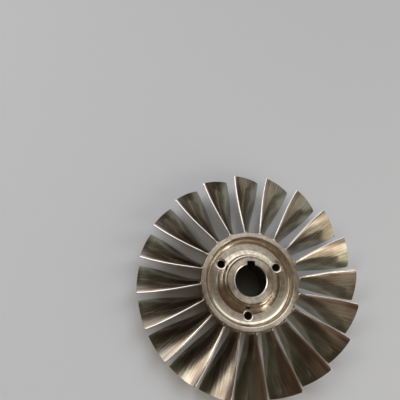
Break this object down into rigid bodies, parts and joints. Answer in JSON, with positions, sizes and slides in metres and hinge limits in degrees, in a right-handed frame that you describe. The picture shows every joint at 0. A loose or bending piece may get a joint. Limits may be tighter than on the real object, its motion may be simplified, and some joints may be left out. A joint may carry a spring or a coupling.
{
  "type": "axial impeller wheel",
  "caption": "Round machined steel impeller wheel: a recessed hub with a keyed bore and bolt holes, ringed by twisted axial blades.",
  "frame": {"origin": "centre of the shaft axis at the level of the hub's back face, on which the wheel lies", "axes": "+Z along the shaft axis toward the front face, +Y toward the keyway, +X to its right"},
  "size_m": [0.1814, 0.1814, 0.0263],
  "materials": {
    "hub_steel": "turned bare stainless steel, warm grey, with fine round tool marks",
    "blade_steel": "milled bare stainless steel, satin, darker than the hub"
  },
  "bodies": {
    "root": {"hub_boss": "hub_steel", "hub_web": "hub_steel", "blade_rim": "hub_steel", "blade_01": "blade_steel", "blade_02": "blade_steel", "blade_03": "blade_steel", "blade_04": "blade_steel", "blade_05": "blade_steel", "blade_06": "blade_steel", "blade_07": "blade_steel", "blade_08": "blade_steel", "blade_09": "blade_steel", "blade_10": "blade_steel", "blade_11": "blade_steel", "blade_12": "blade_steel", "blade_13": "blade_steel", "blade_14": "blade_steel", "blade_15": "blade_steel", "blade_16": "blade_steel", "blade_17": "blade_steel", "blade_18": "blade_steel", "blade_19": "blade_steel", "blade_20": "blade_steel"}
  },
  "joints": []
}
